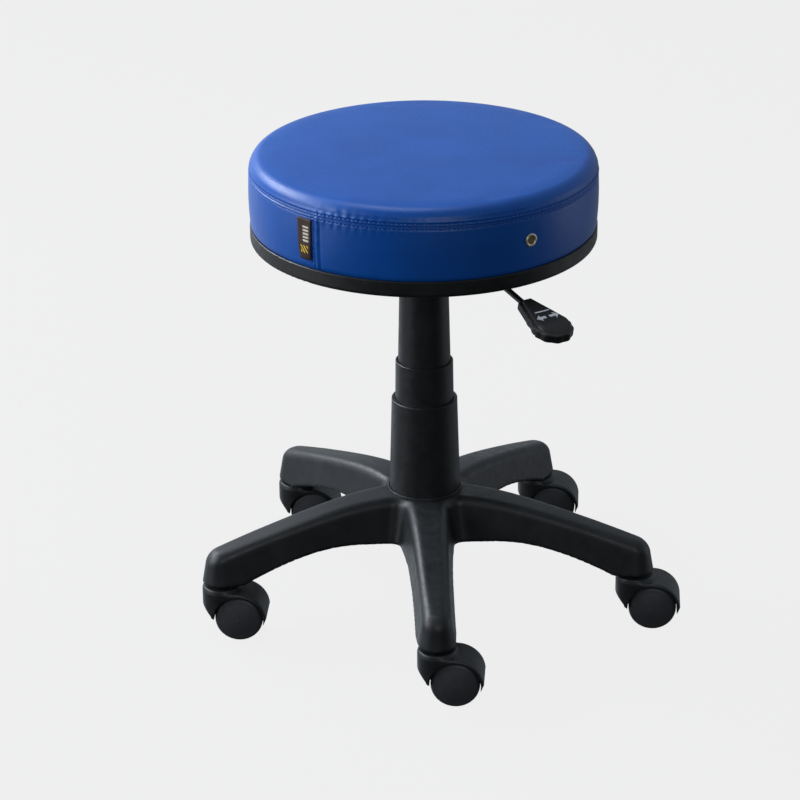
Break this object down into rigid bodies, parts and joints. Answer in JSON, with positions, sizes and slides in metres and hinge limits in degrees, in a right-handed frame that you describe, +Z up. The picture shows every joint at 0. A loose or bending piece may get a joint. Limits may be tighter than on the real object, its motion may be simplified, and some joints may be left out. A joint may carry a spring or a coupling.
{
  "type": "pedicure stool",
  "caption": "Round padded stool on a gas lift with a telescopic cover, a star base with arms and twin-wheel casters.",
  "frame": {"origin": "on the column's axis at floor level, where the wheels rest", "axes": "+Z up along the column, -Y along one arm of the star base"},
  "size_m": [0.5034, 0.4601, 0.508],
  "materials": {
    "vinyl_cover": "satin",
    "foam": "matt",
    "plywood": "matt",
    "black_plastic": "satin",
    "black_nylon": "satin",
    "wheel_nylon": "satin",
    "black_steel": "satin",
    "zinc_steel": "satin",
    "chromed_steel": "gloss",
    "rubber": "matt",
    "bush_plastic": "satin",
    "nickel": "satin",
    "woven_tag": "matt"
  },
  "bodies": {
    "base": {"star_base": "black_nylon", "hub_ring": "zinc_steel", "column_tube": "black_steel", "guide_bush": "bush_plastic", "bearing_race_lower": "zinc_steel", "bearing_cage": "bush_plastic", "bearing_balls": "chromed_steel", "cover_lower": "black_plastic", "stem_grip_rings": "zinc_steel", "caster_stem_1": "zinc_steel", "caster_stem_2": "zinc_steel", "caster_stem_3": "zinc_steel", "caster_stem_4": "zinc_steel", "caster_stem_5": "zinc_steel"},
    "spindle": {"piston_rod": "chromed_steel", "bearing_race_upper": "zinc_steel", "bumper": "rubber", "retaining_clip": "zinc_steel", "retaining_washer": "zinc_steel"},
    "seat": {"gas_cylinder": "black_steel", "cover_upper": "black_plastic", "mechanism_box": "black_steel", "taper_socket": "black_steel", "mount_plate": "black_steel", "mount_bolts": "zinc_steel", "seat_tray": "black_plastic", "seat_board": "plywood", "tee_nuts": "zinc_steel", "seat_foam": "foam", "seat_cover": "vinyl_cover", "vent_eyelet": "nickel", "side_tag": "woven_tag"},
    "lever": {"lever_rod": "black_steel", "lever_bush": "bush_plastic", "lever_handle": "black_plastic"},
    "release_pin": {"release_pin": "zinc_steel"},
    "middle_cover": {"cover_middle": "black_plastic"},
    "caster_1": {"caster_hood_1": "black_nylon", "caster_axle_1": "zinc_steel"},
    "wheel_1_near": {"caster_wheel_1_near": "wheel_nylon"},
    "wheel_1_far": {"caster_wheel_1_far": "wheel_nylon"},
    "caster_2": {"caster_hood_2": "black_nylon", "caster_axle_2": "zinc_steel"},
    "wheel_2_near": {"caster_wheel_2_near": "wheel_nylon"},
    "wheel_2_far": {"caster_wheel_2_far": "wheel_nylon"},
    "caster_3": {"caster_hood_3": "black_nylon", "caster_axle_3": "zinc_steel"},
    "wheel_3_near": {"caster_wheel_3_near": "wheel_nylon"},
    "wheel_3_far": {"caster_wheel_3_far": "wheel_nylon"},
    "caster_4": {"caster_hood_4": "black_nylon", "caster_axle_4": "zinc_steel"},
    "wheel_4_near": {"caster_wheel_4_near": "wheel_nylon"},
    "wheel_4_far": {"caster_wheel_4_far": "wheel_nylon"},
    "caster_5": {"caster_hood_5": "black_nylon", "caster_axle_5": "zinc_steel"},
    "wheel_5_near": {"caster_wheel_5_near": "wheel_nylon"},
    "wheel_5_far": {"caster_wheel_5_far": "wheel_nylon"}
  },
  "joints": [
    {"name": "seat_swivel", "type": "hinge", "parent": "base", "child": "spindle", "pos_m": [0, 0, 0.1], "axis": [0, 0, 1], "continuous": true},
    {"name": "seat_lift", "type": "slide", "parent": "spindle", "child": "seat", "axis": [0, 0, 1], "range_m": [-0.07, 0.05]},
    {"name": "lever_tilt", "type": "hinge", "parent": "seat", "child": "lever", "pos_m": [0.02575, -0.04286, 0.404], "axis": [-0.8572, -0.515, 0], "range_deg": [0, 3.6], "stiffness_Nm_per_rad": 2, "springref_deg": -3.44},
    {"name": "valve_press", "type": "slide", "parent": "seat", "child": "release_pin", "axis": [0, 0, -1], "range_m": [0, 0.0032]},
    {"name": "cover_slide", "type": "slide", "parent": "base", "child": "middle_cover", "axis": [0, 0, 1], "range_m": [-0.0352, 0.0252]},
    {"name": "caster_1_swivel", "type": "hinge", "parent": "base", "child": "caster_1", "pos_m": [0, -0.2278, 0.05], "axis": [0, 0, 1], "continuous": true},
    {"name": "wheel_1_near_spin", "type": "hinge", "parent": "caster_1", "child": "wheel_1_near", "pos_m": [0.01889, -0.22985, 0.025], "axis": [0.108, 0.9942, 0], "continuous": true},
    {"name": "wheel_1_far_spin", "type": "hinge", "parent": "caster_1", "child": "wheel_1_far", "pos_m": [0.01889, -0.22985, 0.025], "axis": [0.108, 0.9942, 0], "continuous": true},
    {"name": "caster_2_swivel", "type": "hinge", "parent": "base", "child": "caster_2", "pos_m": [0.21665, -0.07039, 0.05], "axis": [0, 0, 1], "continuous": true},
    {"name": "wheel_2_near_spin", "type": "hinge", "parent": "caster_2", "child": "wheel_2_near", "pos_m": [0.23554, -0.07245, 0.025], "axis": [0.108, 0.9942, 0], "continuous": true},
    {"name": "wheel_2_far_spin", "type": "hinge", "parent": "caster_2", "child": "wheel_2_far", "pos_m": [0.23554, -0.07245, 0.025], "axis": [0.108, 0.9942, 0], "continuous": true},
    {"name": "caster_3_swivel", "type": "hinge", "parent": "base", "child": "caster_3", "pos_m": [0.1339, 0.18429, 0.05], "axis": [0, 0, 1], "continuous": true},
    {"name": "wheel_3_near_spin", "type": "hinge", "parent": "caster_3", "child": "wheel_3_near", "pos_m": [0.15279, 0.18224, 0.025], "axis": [0.108, 0.9942, 0], "continuous": true},
    {"name": "wheel_3_far_spin", "type": "hinge", "parent": "caster_3", "child": "wheel_3_far", "pos_m": [0.15279, 0.18224, 0.025], "axis": [0.108, 0.9942, 0], "continuous": true},
    {"name": "caster_4_swivel", "type": "hinge", "parent": "base", "child": "caster_4", "pos_m": [-0.1339, 0.18429, 0.05], "axis": [0, 0, 1], "continuous": true},
    {"name": "wheel_4_near_spin", "type": "hinge", "parent": "caster_4", "child": "wheel_4_near", "pos_m": [-0.11501, 0.18224, 0.025], "axis": [0.108, 0.9942, 0], "continuous": true},
    {"name": "wheel_4_far_spin", "type": "hinge", "parent": "caster_4", "child": "wheel_4_far", "pos_m": [-0.11501, 0.18224, 0.025], "axis": [0.108, 0.9942, 0], "continuous": true},
    {"name": "caster_5_swivel", "type": "hinge", "parent": "base", "child": "caster_5", "pos_m": [-0.21665, -0.07039, 0.05], "axis": [0, 0, 1], "continuous": true},
    {"name": "wheel_5_near_spin", "type": "hinge", "parent": "caster_5", "child": "wheel_5_near", "pos_m": [-0.19776, -0.07245, 0.025], "axis": [0.108, 0.9942, 0], "continuous": true},
    {"name": "wheel_5_far_spin", "type": "hinge", "parent": "caster_5", "child": "wheel_5_far", "pos_m": [-0.19776, -0.07245, 0.025], "axis": [0.108, 0.9942, 0], "continuous": true}
  ],
  "couplings": [
    {"joint": "valve_press", "follows": "lever_tilt", "m_per_rad": 0.05},
    {"joint": "cover_slide", "follows": "seat_lift", "ratio": 0.5}
  ]
}
